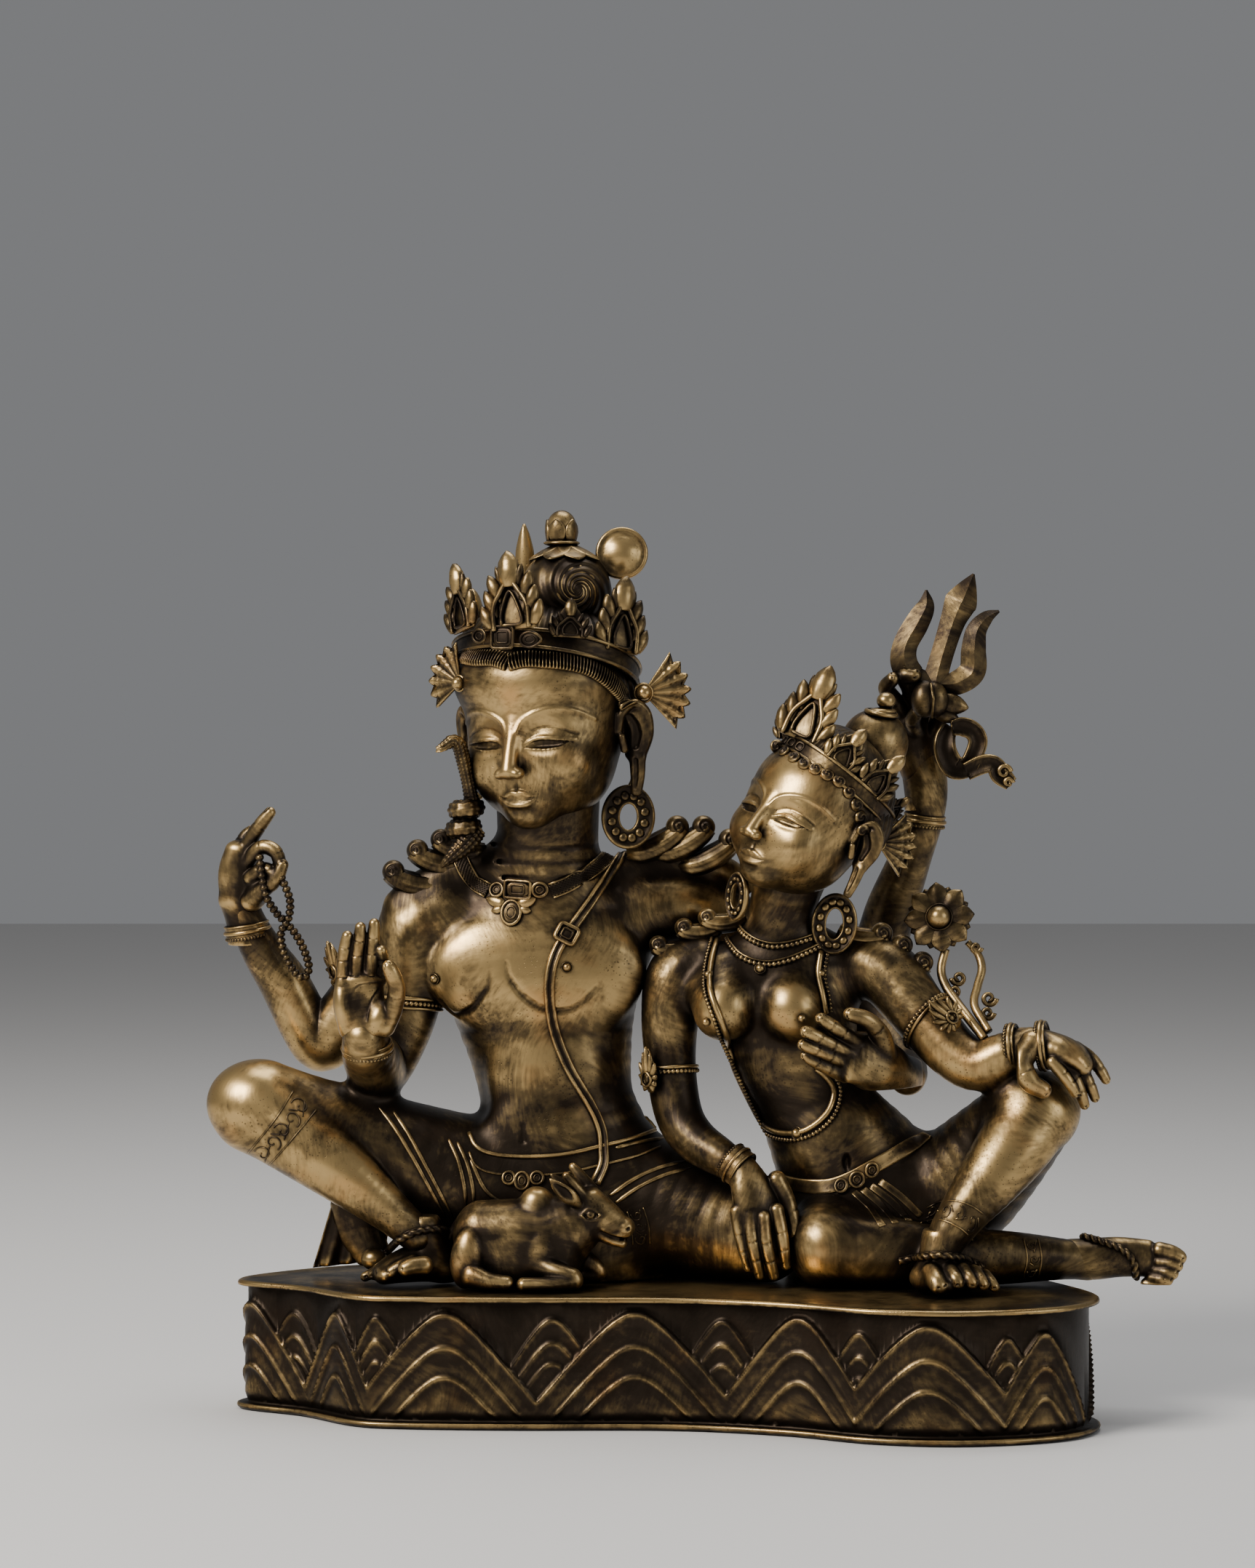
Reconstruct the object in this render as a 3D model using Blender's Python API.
"""Shiva and Parvati statue: a seated couple of cast copper alloy on a rock plinth, with a bull and a trident.

The figures are drawn in figure units. A figure unit is the group's height over 500, about a millimetre.
x runs to the right as seen from the front, y runs to the back, and z runs up from the plinth's top.
"""
import math

import bmesh
import bpy
import numpy as np
from mathutils import Matrix, Vector

# Driving sizes, in metres.
GROUP_HEIGHT = 0.500
PLINTH_HEIGHT = 0.084
PLINTH_LENGTH = 0.547
REST_GAP = 0.0003
CONTACT_GAP = 0.0004

# Every figure is drawn on a group 500 units high.
GROUP_UNITS = 500.0
UNIT = GROUP_HEIGHT / GROUP_UNITS

# The skin is worked out on a grid of this pitch, in figure units, then thinned to its triangle count.
SKIN_PITCH = 2.3
SKIN_SMOOTHING = 3
SHIVA_TRIANGLES = 3500
PARVATI_TRIANGLES = 2600
BULL_TRIANGLES = 560
TRIDENT_TRIANGLES = 440

# Sections of a lofted limb.
SECTION_SIDES = 12
SECTION_STEP = 4.0
CAP_STEPS = 3

# Half-sizes of things that repeat, in figure units.
FINGER = 4.4
BEAD_STRAND = 2.7
CURL = 8.0
LEAF_THICKNESS = 3.2
BAND_DEPTH = 4.5

# The plinth's outline seen from above, as shares of its length, from its left corner along the front.
PLINTH_PLAN = (
    (-0.505, 0.055), (-0.426, -0.004), (-0.364, -0.069), (-0.307, -0.088), (-0.179, -0.097),
    (0.002, -0.099), (0.132, -0.133), (0.236, -0.188), (0.342, -0.201), (0.450, -0.165),
    (0.495, -0.090), (0.470, 0.000), (0.415, 0.092), (0.330, 0.160), (0.183, 0.196),
    (0.000, 0.205), (-0.183, 0.201), (-0.347, 0.183), (-0.450, 0.128),
)
PLINTH_COLUMNS = 180
BACK_THINNING = 4
PLINTH_LIP = 0.0030
PLINTH_LIP_HEIGHT = 0.0040
PLINTH_WALL_INSET = 0.0050
# Peaks along the front: place and half-width as shares of the length, height as a share of the wall.
FRONT_PEAKS = (
    (-0.492, 0.085, 0.84), (-0.388, 0.050, 0.80), (-0.258, 0.110, 0.86), (-0.038, 0.125, 0.88),
    (0.146, 0.090, 0.86), (0.293, 0.115, 0.88), (0.459, 0.070, 0.82),
)
FRONT_FOOTHILLS = (
    (-0.439, 0.060, 0.62), (-0.342, 0.055, 0.64), (-0.133, 0.070, 0.66), (0.062, 0.065, 0.64),
    (0.216, 0.055, 0.62), (0.413, 0.055, 0.60),
)
BACK_PEAK_COUNT = 6
RANGE_RELIEF = 0.0030
NEAR_RELIEF = 0.0052
NEAR_SHARE = 0.55
RIDGE_SLOPE = 0.04


def clear_scene():
    for old in list(bpy.data.objects):
        bpy.data.objects.remove(old, do_unlink=True)


def bronze(name, colour, roughness, metallic):
    material = bpy.data.materials.new(name)
    material.use_nodes = True
    shader = material.node_tree.nodes["Principled BSDF"]
    shader.inputs["Base Color"].default_value = (*colour, 1.0)
    shader.inputs["Roughness"].default_value = roughness
    shader.inputs["Metallic"].default_value = metallic
    return material


def curve_through(points, step):
    """Points along a smooth curve through the given rows; each row may carry its sizes after x, y and z."""
    rows = np.array(points, dtype=float)
    if len(rows) < 2:
        return rows
    padded = np.vstack([2 * rows[0] - rows[1], rows, 2 * rows[-1] - rows[-2]])
    result = []
    for index in range(1, len(padded) - 2):
        before, start, end, after = padded[index - 1:index + 3]
        count = max(1, int(math.ceil(np.linalg.norm(end[:3] - start[:3]) / step)))
        for t in np.arange(count) / count:
            result.append(0.5 * (2 * start + (end - before) * t
                                 + (2 * before - 5 * start + 4 * end - after) * t ** 2
                                 + (3 * start - before - 3 * end + after) * t ** 3))
    result.append(rows[-1])
    return np.array(result)


def closed_curve(points, count):
    """Points spaced evenly round a smooth closed curve through the given rows."""
    rows = np.array(points, dtype=float)
    size = len(rows)
    fine = []
    for index in range(size):
        before, start, end, after = (rows[(index + shift) % size] for shift in (-1, 0, 1, 2))
        for t in np.arange(16) / 16.0:
            fine.append(0.5 * (2 * start + (end - before) * t
                               + (2 * before - 5 * start + 4 * end - after) * t ** 2
                               + (3 * start - before - 3 * end + after) * t ** 3))
    fine = np.array(fine)
    lengths = np.linalg.norm(np.roll(fine, -1, axis=0) - fine, axis=1)
    travel = np.concatenate([[0.0], np.cumsum(lengths)])
    wanted = np.arange(count) * travel[-1] / count
    looped = np.vstack([fine, fine[:1]])
    return np.column_stack([np.interp(wanted, travel, looped[:, axis]) for axis in range(rows.shape[1])])


def loft(shape, stations, width_axis=(1.0, 0.0, 0.0), closed=False):
    """A limb, band or strand: elliptical sections along a smooth path, with rounded ends.

    A station is x, y, z and half-width, and then half-depth where the section isn't round.
    """
    rows = [tuple(row) if len(row) == 5 else (*row, row[3]) for row in stations]
    if closed:
        length = sum(math.dist(rows[k][:3], rows[k - 1][:3]) for k in range(len(rows)))
        path = closed_curve(rows, max(10, int(length / SECTION_STEP)))
    else:
        path = curve_through(rows, SECTION_STEP)
    centres = path[:, :3]
    if closed:
        tangents = np.roll(centres, -1, axis=0) - np.roll(centres, 1, axis=0)
    else:
        tangents = np.gradient(centres, axis=0)
    rings = []
    across = Vector(width_axis)

    def add_ring(centre, tangent, width, depth):
        nonlocal across
        forward = Vector(tangent).normalized()
        flat = across - forward * across.dot(forward)
        across = flat.normalized() if flat.length > 0.05 else forward.orthogonal().normalized()
        up = forward.cross(across)
        ring = []
        for corner in range(SECTION_SIDES):
            angle = 2 * math.pi * corner / SECTION_SIDES
            spot = Vector(centre) + across * (math.cos(angle) * width) + up * (math.sin(angle) * depth)
            ring.append(shape.verts.new(spot))
        rings.append(ring)

    if not closed:
        for step in range(CAP_STEPS):
            angle = math.pi / 2 * (1 - (step + 0.4) / (CAP_STEPS + 0.4))
            reach = min(path[0, 3], path[0, 4]) * math.sin(angle)
            spot = Vector(centres[0]) - Vector(tangents[0]).normalized() * reach
            add_ring(spot, tangents[0], path[0, 3] * math.cos(angle), path[0, 4] * math.cos(angle))
    for row, tangent in zip(path, tangents):
        add_ring(row[:3], tangent, row[3], row[4])
    if not closed:
        for step in reversed(range(CAP_STEPS)):
            angle = math.pi / 2 * (1 - (step + 0.4) / (CAP_STEPS + 0.4))
            reach = min(path[-1, 3], path[-1, 4]) * math.sin(angle)
            spot = Vector(centres[-1]) + Vector(tangents[-1]).normalized() * reach
            add_ring(spot, tangents[-1], path[-1, 3] * math.cos(angle), path[-1, 4] * math.cos(angle))
    pairs = list(zip(rings, rings[1:]))
    if closed:
        pairs.append((rings[-1], rings[0]))
    for low, high in pairs:
        for corner in range(SECTION_SIDES):
            after = (corner + 1) % SECTION_SIDES
            shape.faces.new((low[corner], low[after], high[after], high[corner]))
    if not closed:
        shape.faces.new(list(reversed(rings[0])))
        shape.faces.new(rings[-1])


def blob(shape, centre, half, turn=(0.0, 0.0, 0.0)):
    """An ellipsoid of the given half-sizes, turned about x, then y, then z, in degrees."""
    spin = Matrix.Identity(4)
    for degrees, axis in zip(turn, "XYZ"):
        spin = Matrix.Rotation(math.radians(degrees), 4, axis) @ spin
    place = Matrix.Translation(centre) @ spin @ Matrix.Diagonal((*half, 1.0))
    bmesh.ops.create_icosphere(shape, subdivisions=2, radius=1.0, matrix=place)


def leaf(shape, base, tip, width, thickness=LEAF_THICKNESS, width_axis=(1.0, 0.0, 0.0)):
    """A pointed crown leaf or ornament that stands from its base to its tip."""
    low = Vector(base)
    high = Vector(tip)
    stations = []
    for along, share in ((0.0, 0.75), (0.3, 1.0), (0.6, 0.72), (0.85, 0.32), (1.0, 0.12)):
        spot = low.lerp(high, along)
        stations.append((*spot, width * share, thickness * (0.45 + 0.55 * share)))
    loft(shape, stations, width_axis)


def hoop(shape, centre, across, down, thickness, facing=(0.0, -1.0, 0.0)):
    """An oval ring of half-sizes across and down whose open face looks along facing."""
    forward = Vector(facing).normalized()
    right = Vector((0.0, 0.0, 1.0)).cross(forward).normalized()
    up = forward.cross(right)
    stations = []
    for corner in range(10):
        angle = 2 * math.pi * corner / 10
        spot = Vector(centre) + right * (math.cos(angle) * across) + up * (math.sin(angle) * down)
        stations.append((*spot, thickness))
    loft(shape, stations, forward, closed=True)


def cuff(shape, centre, along, radius, thickness):
    """A bracelet or armlet round a limb that runs along the given direction."""
    forward = Vector(along).normalized()
    right = forward.orthogonal().normalized()
    up = forward.cross(right)
    stations = []
    for corner in range(10):
        angle = 2 * math.pi * corner / 10
        spot = Vector(centre) + (right * math.cos(angle) + up * math.sin(angle)) * radius
        stations.append((*spot, thickness))
    loft(shape, stations, forward, closed=True)


def fingers(shape, paths, radius=FINGER):
    for path in paths:
        loft(shape, [(*spot, radius) for spot in path])


def to_object(shape, name, material):
    mesh = bpy.data.meshes.new(name)
    shape.to_mesh(mesh)
    shape.free()
    result = bpy.data.objects.new(name, mesh)
    bpy.context.scene.collection.objects.link(result)
    mesh.materials.append(material)
    return result


def freeze(result):
    """Replaces an object's mesh by the one that its modifiers give."""
    bpy.context.view_layer.update()
    graph = bpy.context.evaluated_depsgraph_get()
    mesh = bpy.data.meshes.new_from_object(result.evaluated_get(graph), depsgraph=graph)
    result.modifiers.clear()
    result.data = mesh


def keep_largest(result):
    """Drops every body of the mesh but the one with the most faces."""
    shape = bmesh.new()
    shape.from_mesh(result.data)
    unseen = set(shape.verts)
    bodies = []
    while unseen:
        stack = [unseen.pop()]
        body = set(stack)
        while stack:
            for edge in stack.pop().link_edges:
                for vertex in edge.verts:
                    if vertex in unseen:
                        unseen.remove(vertex)
                        body.add(vertex)
                        stack.append(vertex)
        bodies.append(body)
    bodies.sort(key=len, reverse=True)
    for body in bodies[1:]:
        bmesh.ops.delete(shape, geom=list(body), context="VERTS")
    shape.to_mesh(result.data)
    shape.free()


def skin(result, triangles):
    """Melts the overlapping shapes of an object into one body and thins it to a triangle count."""
    melt = result.modifiers.new("melt", "REMESH")
    melt.mode = "VOXEL"
    melt.voxel_size = SKIN_PITCH
    ease = result.modifiers.new("ease", "SMOOTH")
    ease.factor = 0.5
    ease.iterations = SKIN_SMOOTHING
    freeze(result)
    keep_largest(result)
    full = sum(len(face.vertices) - 2 for face in result.data.polygons)
    thin = result.modifiers.new("thin", "DECIMATE")
    thin.ratio = min(1.0, triangles / full)
    thin.use_collapse_triangulate = True
    freeze(result)
    keep_largest(result)


def stand_on_plinth(result):
    """Scales the figure units to metres and sets the figure a hair above the plinth's top."""
    place = Matrix.Translation((0.0, 0.0, PLINTH_HEIGHT + REST_GAP)) @ Matrix.Scale(UNIT, 4)
    result.data.transform(place)


def cut(result, cutter):
    """Takes the cutter's shape out of an object and keeps the largest body."""
    trim = result.modifiers.new("cut", "BOOLEAN")
    trim.operation = "DIFFERENCE"
    trim.solver = "EXACT"
    trim.object = cutter
    freeze(result)
    keep_largest(result)


def flatten_base(result):
    """Cuts a figure off flat where it meets the plinth's top."""
    shape = bmesh.new()
    bmesh.ops.create_cube(shape, size=1.0)
    block = to_object(shape, "floor_cutter", result.data.materials[0])
    depth = PLINTH_HEIGHT
    block.data.transform(Matrix.Diagonal((PLINTH_LENGTH * 2, PLINTH_LENGTH * 2, depth, 1.0)))
    block.data.transform(Matrix.Translation((0.0, 0.0, PLINTH_HEIGHT + REST_GAP - depth / 2)))
    cut(result, block)
    bpy.data.objects.remove(block, do_unlink=True)


def make_room(result, neighbour):
    """Cuts an object back where it would touch its neighbour, and leaves the contact gap."""
    grown = neighbour.copy()
    grown.data = neighbour.data.copy()
    bpy.context.scene.collection.objects.link(grown)
    swell = bmesh.new()
    swell.from_mesh(grown.data)
    swell.normal_update()
    for vertex in swell.verts:
        vertex.co += vertex.normal * CONTACT_GAP * max(1.0, vertex.calc_shell_factor())
    swell.to_mesh(grown.data)
    swell.free()
    cut(result, grown)
    bpy.data.objects.remove(grown, do_unlink=True)


def shiva_torso(shape):
    loft(shape, [
        (-58, 58, 16, 66, 50), (-60, 58, 46, 64, 47), (-65, 58, 80, 57, 41), (-71, 57, 112, 50, 35),
        (-75, 57, 145, 54, 36), (-79, 57, 175, 62, 38), (-81, 57, 203, 70, 38), (-80, 58, 228, 76, 33),
        (-80, 58, 246, 58, 27), (-81, 58, 258, 34, 24),
    ])
    for x, z in ((-116, 193), (-50, 195)):
        blob(shape, (x, 34, z), (36, 13, 28))
    loft(shape, [(-82, 56, 250, 32, 28), (-84, 50, 275, 29, 26), (-84, 46, 302, 29, 27)])
    loft(shape, [
        (-128, 34, 86, 6), (-110, 18, 74, 6), (-84, 8, 68, 6), (-60, 8, 70, 6), (-34, 14, 76, 6),
        (-8, 30, 88, 6),
    ])


def shiva_head(shape):
    blob(shape, (-78, 46, 368), (52, 53, 52))
    blob(shape, (-80, 34, 346), (47, 44, 40), (0, 0, -20))
    blob(shape, (-86, 22, 327), (36, 33, 31), (0, 0, -22))
    loft(shape, [(-93, -6, 360, 4), (-98, -14, 344, 6), (-98, -15, 335, 7)])
    loft(shape, [
        (-130, 38, 412, 10, BAND_DEPTH), (-120, 12, 416, 10, BAND_DEPTH), (-92, -4, 415, 10, BAND_DEPTH),
        (-62, -4, 411, 10, BAND_DEPTH), (-36, 12, 402, 10, BAND_DEPTH), (-24, 42, 391, 10, BAND_DEPTH),
        (-32, 78, 387, 10, BAND_DEPTH), (-75, 97, 394, 10, BAND_DEPTH), (-120, 76, 406, 10, BAND_DEPTH),
    ], (0.0, 0.0, 1.0), closed=True)
    loft(shape, [(-76, 44, 380, 52, 52), (-76, 46, 412, 49, 47), (-72, 48, 432, 36, 34)])
    loft(shape, [(-66, 50, 428, 27, 25), (-65, 50, 446, 29, 27), (-66, 50, 464, 25, 23)])
    blob(shape, (-55, 32, 451), (19, 13, 19))
    loft(shape, [(-68, 50, 470, 13), (-68, 50, 480, 8), (-68, 50, 490, 10), (-68, 50, 498, 3)])
    blob(shape, (-29, 55, 472), (17, 4, 17))
    loft(shape, [(-42, 54, 455, 8, 4), (-32, 55, 466, 8, 4)])
    leaf(shape, (-96, -4, 424), (-100, 0, 468), 13)
    leaf(shape, (-128, 26, 424), (-135, 30, 460), 11, width_axis=(0.5, -0.8, 0.0))
    leaf(shape, (-32, 30, 408), (-28, 36, 453), 11, width_axis=(0.6, 0.8, 0.0))
    leaf(shape, (-64, 0, 416), (-63, 4, 434), 9)
    for x, y, z, tilt in ((-18, 48, 360, 8), (-134, 42, 364, -8)):
        blob(shape, (x, y, z), (7, 11, 17), (0, tilt, 0))
    loft(shape, [(-20, 46, 346, 6, 5), (-21, 42, 324, 5, 4)])
    hoop(shape, (-24, 38, 300), 13, 16, 5)
    blob(shape, (-16, 34, 380), (5.5, 5.5, 5.5))
    blob(shape, (0, 42, 382), (15, 4.5, 21), (0, -6, 0))
    blob(shape, (-138, 30, 388), (5, 5, 5))
    blob(shape, (-146, 40, 402), (10, 4.5, 22), (0, -8, 0))
    loft(shape, [
        (-142, 12, 347, 6, 5), (-137, 14, 336, 4.5), (-132, 20, 318, 5), (-130, 28, 308, 6),
    ])
    for x, z in ((-129, 304), (-131, 293)):
        blob(shape, (x, 26, z), (12, 11, 6))
    loft(shape, [(-132, 27, 290, 6), (-140, 28, 278, 4.5), (-146, 29, 268, 2.6)])


def shoulder_curls(shape, curls, root):
    for x, y, z in curls:
        loft(shape, [(*root, 5.5, 4), ((x + root[0]) / 2, y + 2, (z + root[2]) / 2 - 2, 5, 4), (x, y, z - 3, 5, 4)])
        blob(shape, (x, y, z), (CURL, 5, CURL))


def shiva_front_right_arm(shape):
    loft(shape, [
        (-146, 60, 236, 26), (-163, 60, 225, 26), (-168, 58, 200, 24), (-172, 55, 172, 22),
        (-180, 50, 148, 21), (-187, 42, 136, 20), (-190, 22, 143, 19), (-193, -2, 153, 16),
        (-194, -8, 163, 15),
    ])
    blob(shape, (-195, -12, 181), (16, 8, 23), (0, -4, 0))
    fingers(shape, (
        ((-206, -12, 196), (-206, -13, 212), (-204, -14, 224)),
        ((-199, -12, 200), (-198, -13, 218), (-196, -14, 230)),
        ((-191, -12, 200), (-189, -13, 218), (-187, -14, 231)),
        ((-184, -12, 192), (-183, -16, 205), (-183, -19, 213)),
    ))
    loft(shape, [(-180, -12, 168, 8), (-174, -16, 184, 6.5), (-176, -21, 206, 5)])
    cuff(shape, (-192, -3, 154), (-0.1, -0.7, 0.7), 17, 4)
    cuff(shape, (-171, 56, 177), (0.1, 0.2, 1.0), 22, 4)
    leaf(shape, (-206, 62, 196), (-215, 60, 226), 10, 5)
    loft(shape, [(-190, 60, 204, 7), (-204, 61, 208, 8)])


def shiva_rear_right_arm(shape):
    loft(shape, [
        (-146, 74, 236, 26), (-170, 80, 216, 25), (-196, 84, 184, 23), (-218, 86, 158, 21),
        (-228, 86, 148, 19), (-238, 85, 160, 18), (-252, 82, 188, 17), (-266, 78, 210, 14),
        (-276, 75, 230, 12), (-280, 72, 240, 12),
    ])
    cuff(shape, (-276, 75, 226), (-0.4, -0.1, 0.9), 14, 4)
    blob(shape, (-280, 69, 259), (12, 10, 21))
    fingers(shape, (
        ((-278, 66, 274), (-270, 62, 288), (-261, 58, 302)),
        ((-284, 68, 274), (-280, 70, 286), (-274, 71, 291)),
        ((-274, 60, 274), (-260, 53, 280), (-254, 54, 268)),
        ((-276, 58, 264), (-262, 50, 268), (-256, 52, 257)),
        ((-275, 62, 250), (-264, 54, 252), (-253, 50, 262)),
    ))
    loft(shape, [
        (-262, 52, 272, BEAD_STRAND), (-261, 47, 256, BEAD_STRAND), (-253, 48, 240, BEAD_STRAND),
        (-249, 54, 226, BEAD_STRAND), (-248, 57, 208, BEAD_STRAND), (-240, 60, 196, BEAD_STRAND),
        (-233, 60, 200, BEAD_STRAND), (-240, 57, 218, BEAD_STRAND), (-249, 53, 232, BEAD_STRAND),
        (-246, 49, 246, BEAD_STRAND), (-253, 50, 258, BEAD_STRAND),
    ])


def shiva_left_arms(shape):
    loft(shape, [
        (-14, 66, 238, 27), (12, 72, 238, 26), (48, 88, 224, 23), (90, 100, 198, 21),
        (128, 100, 166, 19), (152, 76, 146, 16), (158, 46, 134, 13), (156, 26, 130, 12),
    ])
    blob(shape, (137, 2, 141), (19, 15, 12), (0, 15, 35))
    fingers(shape, (
        ((124, -8, 152), (110, -22, 160), (90, -29, 168)),
        ((120, -10, 146), (106, -24, 154), (86, -30, 161)),
        ((118, -8, 140), (104, -22, 146), (84, -28, 152)),
        ((118, -6, 134), (104, -18, 138), (84, -25, 145)),
        ((136, -6, 152), (128, -16, 162), (119, -20, 169)),
    ))
    loft(shape, [
        (-14, 84, 236, 26), (10, 92, 236, 25), (56, 110, 212, 23), (100, 122, 184, 21),
        (126, 124, 182, 20), (142, 121, 204, 18), (152, 118, 236, 17), (164, 110, 270, 14),
        (173, 105, 298, 12), (172, 102, 320, 12),
    ])
    cuff(shape, (173, 105, 294), (0.2, -0.1, 1.0), 14, 4)
    blob(shape, (167, 98, 345), (13, 11, 20), (0, -18, 0))
    fingers(shape, (
        ((160, 96, 358), (154, 92, 368), (150, 88, 378)),
        ((156, 94, 370), (152, 90, 382), (152, 86, 392)),
    ), 6.0)


def shiva_legs(shape):
    loft(shape, [
        (-92, 56, 48, 48, 46), (-140, 52, 64, 42, 42), (-188, 46, 80, 38, 36), (-236, 38, 100, 32, 32),
        (-262, 30, 112, 30, 28),
    ], (0.0, 0.0, 1.0))
    blob(shape, (-270, 26, 114), (28, 25, 27))
    loft(shape, [
        (-266, 22, 110, 27, 22), (-242, 14, 94, 24, 21), (-208, 6, 71, 20, 18), (-178, 3, 47, 14, 13),
        (-158, 3, 30, 12, 12),
    ], (0.0, 0.0, 1.0))
    loft(shape, [
        (-144, 12, 14, 13, 14), (-164, 5, 12, 13, 12), (-186, 3, 8, 14, 8), (-196, 3, 5, 13, 5),
    ], (0.0, 1.0, 0.0))
    cuff(shape, (-163, 5, 29), (-0.5, 0.0, 0.8), 16, 4.5)
    loft(shape, [(-216, 44, 44, 14, 9), (-208, 44, 26, 22, 9), (-190, 40, 12, 18, 8)])
    blob(shape, (-191, 34, 12), (8, 8, 8))
    loft(shape, [
        (-20, 56, 46, 48, 44), (22, 42, 38, 38, 38), (52, 24, 30, 30, 29), (66, 16, 28, 27, 25),
    ], (0.0, 0.0, 1.0))
    loft(shape, [(62, 20, 20, 20, 24), (10, 44, 18, 20, 22), (-50, 50, 18, 20, 24)], (0.0, 0.0, 1.0))


def parvati_torso(shape):
    loft(shape, [
        (138, 48, 18, 62, 46), (134, 47, 42, 58, 44), (124, 43, 66, 51, 38), (108, 40, 92, 42, 32),
        (95, 38, 118, 37, 29), (86, 36, 142, 41, 30), (80, 35, 166, 46, 32), (77, 34, 186, 53, 31),
        (76, 34, 203, 52, 27), (75, 34, 216, 32, 21),
    ])
    blob(shape, (55, 20, 186), (46, 20, 22))
    for x, y, z in ((30, 9, 177), (81, 7, 179)):
        blob(shape, (x, y, z), (23, 20, 23))
    loft(shape, [(76, 34, 208, 24, 21), (75, 30, 228, 20, 18), (76, 26, 252, 20, 19)])
    loft(shape, [(72, 20, 62, 6), (92, 2, 56, 6), (120, 0, 60, 6), (146, 10, 72, 6), (164, 30, 88, 6)])


def parvati_head(shape):
    blob(shape, (93, 28, 308), (44, 46, 45))
    blob(shape, (84, 14, 290), (40, 38, 38), (0, 12, -35))
    blob(shape, (74, 6, 274), (28, 28, 26), (0, 12, -35))
    loft(shape, [(63, -18, 298, 3.5), (58, -24, 285, 4.5), (57, -24, 278, 5)])
    loft(shape, [
        (72, -6, 352, 7, 4), (92, -10, 349, 7, 4), (112, -3, 338, 7, 4), (127, 13, 318, 7, 4),
        (134, 34, 299, 7, 4), (122, 62, 302, 7, 4), (96, 72, 322, 7, 4), (66, 54, 344, 7, 4),
        (58, 20, 353, 7, 4),
    ], (0.0, 0.0, 1.0), closed=True)
    loft(shape, [(90, 30, 318, 42, 44), (98, 30, 338, 37, 39), (110, 34, 352, 24, 26)])
    leaf(shape, (92, -6, 354), (107, 2, 394), 14)
    leaf(shape, (115, 0, 342), (127, 6, 353), 9)
    leaf(shape, (132, 16, 322), (151, 22, 336), 9, width_axis=(0.5, 0.6, -0.6))
    blob(shape, (136, 40, 351), (21, 19, 20))
    loft(shape, [(139, 36, 366, 11, 10), (143, 33, 375, 6, 6)])
    blob(shape, (128, 28, 265), (7, 9, 16), (0, -12, 0))
    hoop(shape, (110, 16, 232), 11, 15, 4.5)
    loft(shape, [(126, 24, 252, 5, 4), (118, 19, 244, 5, 4)])
    blob(shape, (136, 20, 284), (5, 5, 5))
    blob(shape, (151, 28, 286), (15, 4.5, 18), (0, 10, 0))
    blob(shape, (47, 4, 256), (6, 8, 14))
    loft(shape, [(46, 2, 246, 5), (45, 0, 238, 5)])


def parvati_arms(shape):
    loft(shape, [
        (24, 38, 204, 18), (8, 40, 196, 21), (3, 38, 172, 19), (3, 36, 140, 17), (8, 30, 108, 16),
        (18, 20, 92, 15), (34, 6, 82, 13), (48, -2, 74, 11),
    ])
    blob(shape, (57, -9, 57), (14, 9, 18), (0, -14, 0))
    fingers(shape, (
        ((50, -12, 46), (49, -15, 28), (50, -16, 12)),
        ((57, -13, 44), (57, -17, 26), (58, -18, 8)),
        ((64, -12, 44), (65, -16, 26), (66, -17, 8)),
        ((70, -11, 46), (72, -14, 30), (73, -15, 12)),
        ((70, -8, 60), (78, -10, 50), (80, -12, 38)),
    ), 5.0)
    cuff(shape, (48, -2, 75), (0.7, -0.4, -0.5), 13, 4)
    cuff(shape, (4, 36, 133), (0.05, -0.1, 1.0), 18, 4)
    leaf(shape, (-10, 18, 126), (-14, 16, 148), 8, 5)
    loft(shape, [
        (124, 34, 206, 20), (144, 28, 198, 22), (162, 16, 176, 20), (184, 2, 150, 18),
        (200, -6, 142, 17), (216, -14, 150, 14), (232, -19, 157, 11),
    ])
    blob(shape, (250, -24, 153), (16, 12, 9), (0, 20, 0))
    fingers(shape, (
        ((258, -28, 150), (268, -30, 140), (272, -28, 128)),
        ((260, -24, 149), (272, -24, 138), (278, -22, 126)),
        ((258, -20, 147), (270, -18, 136), (274, -16, 124)),
        ((252, -16, 144), (262, -12, 134), (266, -10, 122)),
        ((246, -30, 148), (240, -32, 136), (243, -30, 126)),
    ), 4.6)
    cuff(shape, (219, -15, 156), (0.9, -0.4, 0.3), 15, 4)
    cuff(shape, (237, -19, 156), (0.9, -0.3, 0.0), 14, 4)
    cuff(shape, (160, 16, 160), (0.6, -0.4, -0.7), 19, 4)
    leaf(shape, (168, 0, 170), (182, -6, 186), 10, 5)
    shoulder_curls(shape, ((143, 28, 226), (155, 28, 219), (165, 26, 204)), (134, 32, 204))


def parvati_lotus(shape):
    blob(shape, (177, 26, 235), (22, 6, 22))
    loft(shape, [
        (180, 26, 216, 3.2), (181, 20, 198, 3.2), (190, 10, 184, 3.2), (200, 0, 172, 3.2),
        (208, -10, 162, 4),
    ])
    blob(shape, (188, 10, 196), (9, 5, 12), (0, 20, 0))
    loft(shape, [(172, 28, 220, 5, 4), (162, 28, 208, 6, 5)])


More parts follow.
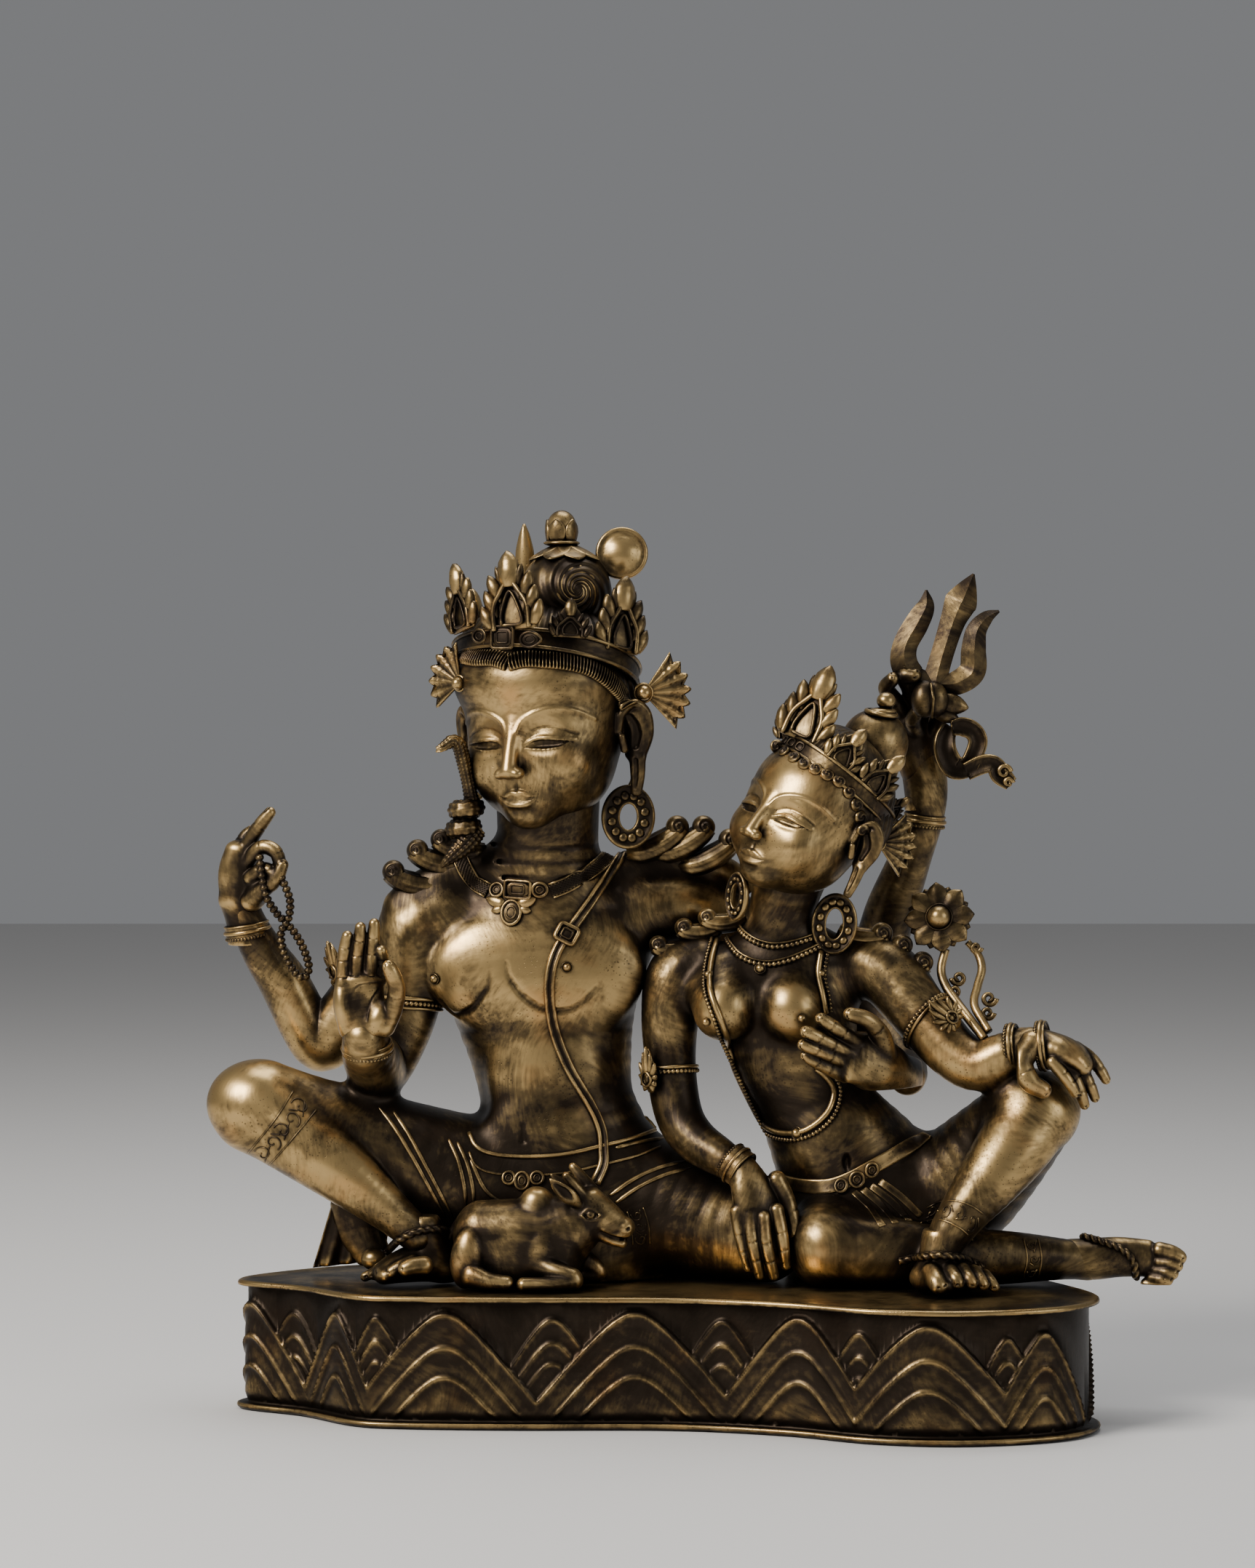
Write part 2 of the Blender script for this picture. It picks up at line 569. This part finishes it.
def parvati_legs(shape):
    loft(shape, [
        (160, 52, 40, 46, 42), (188, 40, 56, 42, 38), (214, 22, 84, 36, 32), (234, 2, 110, 30, 27),
    ], (1.0, 0.0, 0.0))
    blob(shape, (238, -4, 114), (27, 24, 24))
    loft(shape, [
        (236, -8, 110, 25, 22), (222, -18, 92, 24, 20), (206, -26, 72, 21, 18), (188, -32, 50, 16, 15),
        (174, -34, 32, 13, 12), (173, -34, 20, 13, 12),
    ])
    loft(shape, [
        (178, -28, 12, 15, 11), (180, -38, 10, 17, 9), (184, -48, 6, 20, 5),
    ])
    cuff(shape, (175, -33, 22), (0.05, 0.1, 1.0), 18, 4.5)
    loft(shape, [
        (136, 50, 34, 44, 42), (114, 22, 30, 34, 34), (104, 2, 26, 28, 26),
    ], (0.0, 0.0, 1.0))
    loft(shape, [
        (104, -2, 24, 25, 24), (136, -8, 22, 24, 20), (176, -4, 18, 20, 18), (220, 4, 17, 17, 16),
        (258, 10, 15, 13, 13), (272, 12, 12, 12, 12),
    ], (0.0, 0.0, 1.0))
    loft(shape, [
        (280, 14, 10, 12, 12), (300, 14, 9, 12, 11), (318, 12, 12, 11, 8), (330, 10, 14, 9, 5),
    ], (0.0, 0.0, 1.0))
    cuff(shape, (274, 12, 13), (1.0, 0.05, 0.1), 15, 4)
    loft(shape, [(128, -4, 66, 6), (140, -10, 54, 6), (144, -12, 46, 5)])


def bull_shapes(shape):
    loft(shape, [
        (-117, -4, 31, 24, 20), (-98, -6, 33, 23, 20), (-76, -9, 34, 23, 18), (-62, -11, 38, 21, 16),
        (-52, -12, 46, 14, 12),
    ], (0.0, 0.0, 1.0))
    loft(shape, [(-50, -13, 52, 13, 11), (-40, -15, 45, 12, 10), (-29, -17, 38, 9, 8)], (0.0, 0.0, 1.0))
    blob(shape, (-82, -6, 52), (11, 9, 9))
    loft(shape, [(-112, -14, 18, 14, 8), (-100, -20, 8, 7, 7), (-124, -20, 6, 6, 6)], (0.0, 0.0, 1.0))
    loft(shape, [(-66, -20, 22, 10, 7), (-58, -24, 9, 8, 6), (-88, -24, 6, 6, 6)], (0.0, 0.0, 1.0))
    loft(shape, [(-60, -4, 20, 9, 7), (-46, -3, 9, 6, 6), (-62, -2, 6, 6, 6)], (0.0, 0.0, 1.0))
    loft(shape, [(-96, -4, 14, 22, 14), (-70, -8, 14, 20, 14)], (0.0, 0.0, 1.0))
    for y, lean in ((-24, -1), (-4, 1)):
        blob(shape, (-62, y, 57), (8, 4, 5), (30 * lean, -20, 0))
        loft(shape, [
            (-53, -13 + 6 * lean, 61, 4), (-57, -13 + 10 * lean, 67, 3.6), (-52, -13 + 10 * lean, 73, 2.6),
        ])
    loft(shape, [(-140, 0, 38, 4), (-142, -4, 24, 4), (-134, -14, 12, 4)])


def trident_shapes(shape):
    loft(shape, [
        (176, 78, 384, 6, 5), (180, 78, 396, 4.5, 4), (188, 78, 418, 8, 5), (194, 78, 438, 10, 5.5),
        (199, 78, 450, 6, 4), (203, 78, 459, 2.2, 2.2),
    ])
    loft(shape, [
        (175, 78, 386, 6, 5), (164, 78, 386, 6, 5), (155, 78, 397, 6, 5), (156, 78, 415, 6, 5),
        (162, 78, 432, 5, 4.5), (168, 78, 447, 2.2, 2.2),
    ])
    loft(shape, [
        (178, 78, 386, 6, 5), (190, 78, 382, 6, 5), (200, 78, 391, 6, 5), (203, 78, 405, 6, 5),
        (208, 78, 419, 5, 4.5), (217, 78, 434, 2.2, 2.2),
    ])
    loft(shape, [(176, 78, 384, 8, 6), (174, 78, 376, 11, 7), (174, 78, 366, 9, 6), (178, 78, 352, 5, 5)])
    loft(shape, [(180, 77, 370, 6, 5), (190, 75, 374, 9, 5), (197, 74, 366, 7, 5)])
    loft(shape, [
        (182, 76, 358, 6, 5), (200, 74, 358, 6, 5), (208, 72, 346, 6, 5), (198, 72, 332, 6, 5),
        (188, 72, 340, 5, 5), (192, 72, 350, 5, 5),
    ])
    loft(shape, [(206, 72, 344, 5, 5), (214, 70, 332, 6, 5), (227, 68, 321, 4, 4)])


def figure(name, material, triangles, makers):
    """Joins the shapes of a figure, melts them into one skin and sets it on the plinth."""
    shape = bmesh.new()
    for maker in makers:
        maker(shape)
    result = to_object(shape, name, material)
    skin(result, triangles)
    stand_on_plinth(result)
    return result


def outline_place(plan, column):
    """A point of the plinth's outline and its outward direction."""
    count = len(plan)
    ahead = plan[(column + 1) % count] - plan[(column - 1) % count]
    outward = np.array((ahead[1], -ahead[0]))
    return plan[column], outward / np.linalg.norm(outward)


def ridge_height(spot):
    """The mountain range's height at a place of the outline, as a share of the wall."""
    place = spot[0] / PLINTH_LENGTH
    if spot[1] < 0.06 * PLINTH_LENGTH:
        peaks = FRONT_PEAKS + FRONT_FOOTHILLS
    else:
        spacing = 0.96 / BACK_PEAK_COUNT
        middles = [spacing * (index + 0.5) - 0.48 for index in range(BACK_PEAK_COUNT)]
        peaks = [(middle, spacing * 0.7, 0.84) for middle in middles]
    heights = [height * (1.0 - abs(place - middle) / half_width) for middle, half_width, height in peaks]
    return max(heights)


def make_plinth(material):
    """A wavy slab with a lip at its top and bottom; the rows of its wall follow the mountains' ridges."""
    spots = closed_curve([(x * PLINTH_LENGTH, y * PLINTH_LENGTH) for x, y in PLINTH_PLAN], PLINTH_COLUMNS)
    kept = [column for column in range(PLINTH_COLUMNS)
            if spots[column][1] < 0.06 * PLINTH_LENGTH or column % BACK_THINNING == 0]
    wall = PLINTH_HEIGHT - 2 * PLINTH_LIP_HEIGHT
    shape = bmesh.new()
    columns = []
    for column in kept:
        spot, outward = outline_place(spots, column)
        ridge = ridge_height(spot)
        near = ridge * NEAR_SHARE
        steps = (
            (0.0, 0.0), (PLINTH_LIP_HEIGHT, PLINTH_LIP),
            (PLINTH_LIP_HEIGHT + wall * 0.03, NEAR_RELIEF - PLINTH_WALL_INSET),
            (PLINTH_LIP_HEIGHT + wall * near, NEAR_RELIEF - PLINTH_WALL_INSET),
            (PLINTH_LIP_HEIGHT + wall * (near + RIDGE_SLOPE), RANGE_RELIEF - PLINTH_WALL_INSET),
            (PLINTH_LIP_HEIGHT + wall * ridge, RANGE_RELIEF - PLINTH_WALL_INSET),
            (PLINTH_LIP_HEIGHT + wall * (ridge + RIDGE_SLOPE), -PLINTH_WALL_INSET),
            (PLINTH_HEIGHT - PLINTH_LIP_HEIGHT * 1.4, -PLINTH_WALL_INSET),
            (PLINTH_HEIGHT - PLINTH_LIP_HEIGHT, PLINTH_LIP * 0.6), (PLINTH_HEIGHT, 0.0),
        )
        corners = []
        for height, push in steps:
            edge = spot + outward * push
            corners.append(shape.verts.new((edge[0], edge[1], height)))
        columns.append(corners)
    for left, right in zip(columns, columns[1:] + columns[:1]):
        for row in range(len(left) - 1):
            shape.faces.new((left[row], right[row], right[row + 1], left[row + 1]))
    shape.faces.new([corners[0] for corners in reversed(columns)])
    shape.faces.new([corners[-1] for corners in columns])
    bmesh.ops.recalc_face_normals(shape, faces=shape.faces)
    bmesh.ops.triangulate(shape, faces=shape.faces)
    return to_object(shape, "plinth", material)


def main():
    clear_scene()
    dark_bronze = bronze("dark_bronze", (0.07, 0.05, 0.035), 0.5, 0.9)
    rubbed_bronze = bronze("rubbed_bronze", (0.40, 0.28, 0.13), 0.38, 1.0)
    make_plinth(dark_bronze)
    shiva = figure("shiva", rubbed_bronze, SHIVA_TRIANGLES, (
        shiva_torso, shiva_head, shiva_front_right_arm, shiva_rear_right_arm, shiva_left_arms, shiva_legs,
        lambda shape: shoulder_curls(shape, ((-178, 50, 264), (-163, 50, 282), (-148, 50, 288)),
                                     (-138, 56, 256)),
        lambda shape: shoulder_curls(shape, ((8, 52, 296), (25, 56, 296), (41, 60, 291)), (-4, 60, 262)),
    ))
    parvati = figure("parvati", rubbed_bronze, PARVATI_TRIANGLES, (
        parvati_torso, parvati_head, parvati_arms, parvati_lotus, parvati_legs,
    ))
    bull = figure("bull", rubbed_bronze, BULL_TRIANGLES, (bull_shapes,))
    trident = figure("trident", rubbed_bronze, TRIDENT_TRIANGLES, (trident_shapes,))
    for piece in (shiva, parvati, bull):
        flatten_base(piece)
    make_room(parvati, shiva)
    make_room(bull, shiva)
    make_room(trident, shiva)
    make_room(trident, parvati)


main()
